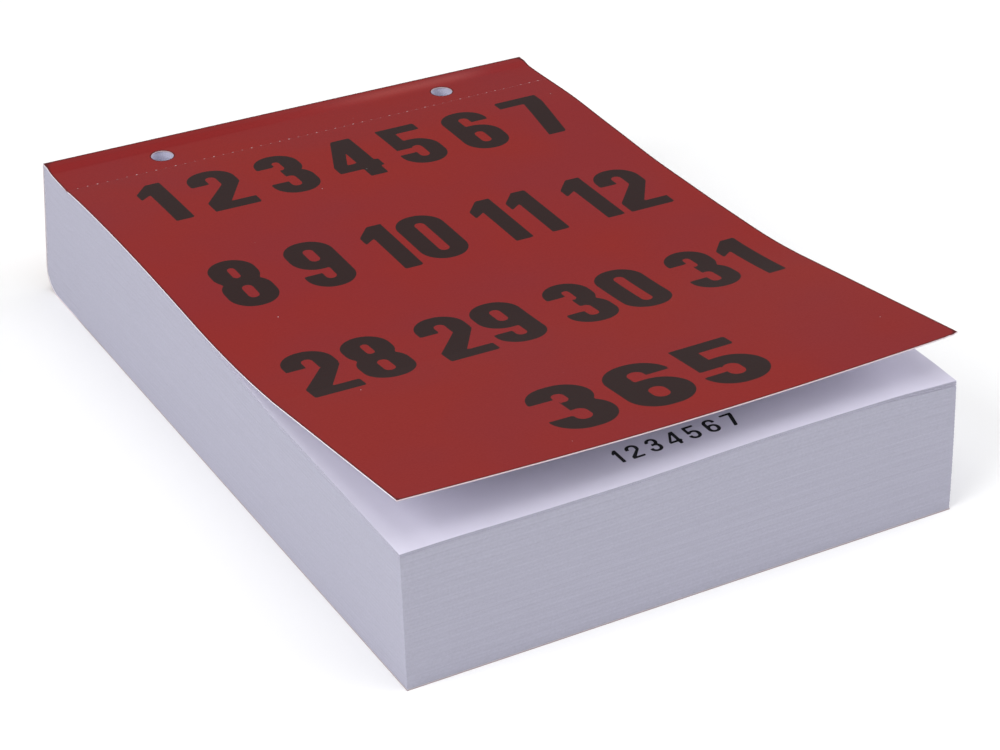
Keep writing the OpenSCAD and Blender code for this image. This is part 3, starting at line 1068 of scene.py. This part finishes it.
class CALENDAR_OT_bound_stubs(bpy.types.Operator):
    """Make the bound ends of the leaves behind the perforation, drilled twice"""

    bl_idname = "calendar.bound_stubs"
    bl_label = "Bound stubs"

    def execute(self, context):
        cover = settings().cover
        distance, points, out = wrap_path()
        inner = points - out * (CARD + cover.glue + CLEAR)
        rear = inner[(distance > cover.perforation_inset - 2 * cover.fold_radius)
                     & (distance <= distance[-1] - (foot_y() - FREE_EDGE_Y))]
        rear = rear[np.argsort(rear[:, 1])]
        edge_y, flat_y = spine_edge(), HOLE_Y + WINDOW
        net = holed_net(spread(-HALF_WIDTH, HALF_WIDTH, 4 * MM),
                        lines([HINGE_Y + CLEAR], spread(flat_y, edge_y, 1 * MM)),
                        [(side * HOLE_X, HOLE_Y) for side in (-1, 1)], HOLE_RADIUS)

        def place(x, y, leaves):
            share = leaves / YEAR
            behind = np.clip((y - flat_y) / (edge_y - flat_y), 0, 1)
            rear_z = CARD + (leaf_plane(edge_y) - CARD) * share
            y = y + behind * (np.interp(rear_z, rear[:, 1], rear[:, 0]) - edge_y)
            z = CARD + (leaf_plane(y) - CARD - CLEAR / 2) * share
            near_side = smooth(np.abs(x), HALF_WIDTH - 6 * MM, HALF_WIDTH)
            side_x, _ = trimmed(x, y, leaves)
            return swollen(x + (side_x - x) * near_side, y, z)

        def drilled(x, y, leaves):
            """1 on the walls of the holes, which are painted lighter as painted light."""
            return 1.0 * (np.hypot(np.abs(x) - HOLE_X, y - HOLE_Y) < HOLE_RADIUS + 0.1 * MM)

        marks = {"leaf": leaf_level, "drilled": drilled, "ink": no_print}
        piece = solid("stub_block", net, place, np.linspace(0, YEAR, STUB_LEVELS), LEAF_LOOKS, marks)
        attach(piece, "block")
        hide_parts("bound_stubs")
        return {"FINISHED"}


def date_print(text):
    """A function of (x, y) for the distance outside a leaf's date, a large plain number."""
    numbers = settings().numbers
    scale = numbers.date_height / numbers.digit_height
    wide, stroke = numbers.digit_width * scale, numbers.stem * scale

    def distance(x, y):
        return number_row(x, y, text, 0, DATE_BASE, wide, numbers.date_height, stroke, DATE_GAP, 0)

    return distance


def foot_print(x, y):
    """Distance outside the small row of numbers near the first leaf's free edge."""
    return number_row(x, y, "1 2 3 4 5 6 7", 2 * MM, FOOT_BASE, 3.0 * MM, 5.2 * MM, 0.85 * MM, 0.6 * MM,
                      1.2 * MM)


def leaf_net(dated, first=False):
    """A leaf's net: close together under the print, and wide apart elsewhere."""
    along = [spread(FREE_EDGE_Y, FREE_EDGE_Y + 60 * MM, 3 * MM), spread(FREE_EDGE_Y, HINGE_Y, 8 * MM)]
    extra = ()
    if dated:
        along.append(spread(DATE_BASE - 1 * MM, DATE_BASE + 71 * MM, 1 * MM))
    if first:
        extra = spread(-18 * MM, 22 * MM, 0.3 * MM)
        along.append(spread(FOOT_BASE - 0.4 * MM, FOOT_BASE + 5.6 * MM, 0.3 * MM))
    return tied_net(lines(*along), 3 if dated else 1, extra)


class CALENDAR_OT_day_leaves(bpy.types.Operator):
    """Make the loose leaves, each with its date, fanned a little at the front right corner"""

    bl_idname = "calendar.day_leaves"
    bl_label = "Day leaves"

    def execute(self, context):
        sizes = settings().paper
        for number in range(1, LOOSE + 1):
            date = date_print(str(number))
            sunk = (number + 1) // 3 / ((LOOSE + 2) // 3)

            def place(x, y, up, number=number, sunk=sunk):
                """Parallel below the cover, and sunk by equal steps, three by three, at the corner."""
                z = leaf_plane(y) - number * (sizes.leaf + sizes.air) + sizes.leaf * up
                z = z + swelling(x, y) + ripple(x, y) - corner_droop(x, y) * sunk
                side_x, side_y = trimmed(x, y, YEAR - number * 1.0)
                return np.stack([side_x, side_y, z], 1)

            def ink(x, y, up, number=number, date=date):
                if not up:
                    return no_print(x, y, up)
                return np.minimum(date(x, y), foot_print(x, y)) if number == 1 else date(x, y)

            def level(x, y, up, number=number):
                return leaf_level(x, y, YEAR - number + up)

            piece = solid(f"leaf_{number:02d}", leaf_net(True, number == 1), place, [0, 1], LEAF_LOOKS,
                          {"ink": ink, "leaf": level})
            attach(piece, f"leaf_{number:02d}")
            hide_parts(f"day_leaf_{number:02d}")
        return {"FINISHED"}


class CALENDAR_OT_month_pads(bpy.types.Operator):
    """Make the bound leaves in front of the perforation, one pad for each month"""

    bl_idname = "calendar.month_pads"
    bl_label = "Month pads"

    levels: IntProperty(name="Levels", description="Steps in the cut edge of one pad", default=14, min=1)

    def execute(self, context):
        high = BOUND
        for month in MONTHS:
            days = MONTH_DAYS.get(month, 31) - (LOOSE if high == BOUND else 0)
            low, top_pad = high - days, high == BOUND
            date = date_print(str(LOOSE + 1))

            def place(x, y, leaves):
                side_x, side_y = trimmed(x, y, leaves)
                return np.stack([side_x, side_y, stack_height(x, y, leaves)], 1)

            def ink(x, y, leaves, shown=top_pad, top=high, date=date):
                return date(x, y) if shown and leaves == top else no_print(x, y, leaves)

            levels = np.linspace(low, high, self.levels + 1)
            piece = solid(f"{month}_pad", leaf_net(top_pad), place, levels, LEAF_LOOKS,
                          {"ink": ink, "leaf": leaf_level})
            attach(piece, "block")
            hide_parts(f"{month}_leaves")
            high = low
        return {"FINISHED"}


# ------------ the stage
def view_axes(azimuth, elevation):
    """Right, up and back directions of a viewer that stands at these angles round the block: azimuth 0
    is in front of the free edge, and grows to the right."""
    back = np.array([math.sin(azimuth) * math.cos(elevation), -math.cos(azimuth) * math.cos(elevation),
                     math.sin(elevation)])
    right = np.array([math.cos(azimuth), math.sin(azimuth), 0.0])
    return right, np.cross(back, right), back


def stand_at(name, data, axes, place):
    """A light or camera at a place, whose right, up and back directions are the given axes."""
    thing = put_in_scene(name, data)
    thing.matrix_world = Matrix([[*row, at] for row, at in zip(np.stack(axes, 1), place)] + [[0, 0, 0, 1]])
    return thing


def soft_light(name, azimuth, elevation, distance, size, watts):
    """A square studio light at angles round the block, in degrees, facing it."""
    data = bpy.data.lights.new(name, "AREA")
    data.shape, data.size, data.energy = "SQUARE", size, watts
    axes = view_axes(math.radians(azimuth), math.radians(elevation))
    stand_at(name, data, axes, axes[2] * distance)


class CALENDAR_OT_stage(bpy.types.Operator):
    """Make the plain pale floor, the soft studio light and the camera"""

    bl_idname = "calendar.stage"
    bl_label = "Floor, light and camera"

    def execute(self, context):
        stage = settings().stage
        mesh = bpy.data.meshes.new("floor")
        corners, faces = grid_net([-FLOOR_REACH, FLOOR_REACH], [-FLOOR_REACH, FLOOR_REACH])
        mesh.from_pydata([(*corner, 0) for corner in corners.tolist()], [], faces.tolist())
        mesh.materials.append(look_of(pale_floor))
        floor = put_in_scene("floor", mesh)

        for name, azimuth, elevation, distance, size, watts in (
                ("light_above", 0, 80, 1.6, 1.4, stage.top_light),
                ("light_left", -75, 35, 1.8, 1.2, stage.left_light),
                ("light_right", 50, 35, 1.8, 1.2, stage.right_light),
                ("light_low", 80, 18, 1.8, 1.2, stage.low_light),
                ("light_behind", -150, 50, 1.8, 1.2, stage.back_light)):
            soft_light(name, azimuth, elevation, distance, size, watts)
        world = bpy.data.worlds.new("surround")
        world.use_nodes = True
        background = world.node_tree.nodes["Background"]
        background.inputs["Color"].default_value = (1, 1, 1, 1)
        background.inputs["Strength"].default_value = stage.surround
        context.scene.world = world
        context.scene.view_settings.view_transform = "Standard"

        data = bpy.data.cameras.new("camera")
        data.lens, data.sensor_width, data.shift_x = stage.lens, 36.0, stage.shift
        data.clip_start, data.clip_end = 0.01, 50.0
        right, up, back = view_axes(stage.azimuth, stage.elevation)
        right, up = (math.cos(stage.roll) * right + math.sin(stage.roll) * up,
                     math.cos(stage.roll) * up - math.sin(stage.roll) * right)
        target = np.array(LOOKED_AT) + [0, spine_edge(), 0]
        camera = stand_at("camera", data, (right, up, back), target + back * stage.distance)
        context.scene.camera = camera
        return {"FINISHED"}


class CALENDAR_PT_panel(bpy.types.Panel):
    """Lists the calendar's pieces and settings in the 3D view's sidebar"""

    bl_idname = "CALENDAR_PT_panel"
    bl_label = "Tear-off calendar"
    bl_space_type = "VIEW_3D"
    bl_region_type = "UI"
    bl_category = "Calendar"

    def draw(self, context):
        for operator in OPERATORS:
            self.layout.operator(operator.bl_idname)
        for group in ("cover", "paper", "numbers", "colours", "stage"):
            box = self.layout.box()
            values = getattr(context.scene.calendar, group)
            box.label(text=group.capitalize())
            for name in values.__annotations__:
                box.prop(values, name)


OPERATORS = (
    CALENDAR_OT_stage,
    CALENDAR_OT_cover_wrap,
    CALENDAR_OT_lifted_cover,
    CALENDAR_OT_perforation_nicks,
    CALENDAR_OT_spine_glue,
    CALENDAR_OT_bound_stubs,
    CALENDAR_OT_day_leaves,
    CALENDAR_OT_month_pads,
)
GROUPS = (CoverSizes, PaperSizes, PrintSizes, Colours, StageSettings, CalendarSettings)


def register():
    """Registers the classes and the settings."""
    for kind in (*GROUPS, *OPERATORS, CALENDAR_PT_panel):
        bpy.utils.register_class(kind)
    bpy.types.Scene.calendar = PointerProperty(type=CalendarSettings, name="Calendar",
                                               description="Settings of the tear-off calendar")


def unregister():
    """Removes the settings and the classes."""
    del bpy.types.Scene.calendar
    for kind in reversed((*GROUPS, *OPERATORS, CALENDAR_PT_panel)):
        bpy.utils.unregister_class(kind)


def main():
    """Makes every piece."""
    register()
    for operator in OPERATORS:
        group, name = operator.bl_idname.split(".")
        getattr(getattr(bpy.ops, group), name)()


if __name__ == "__main__":
    main()
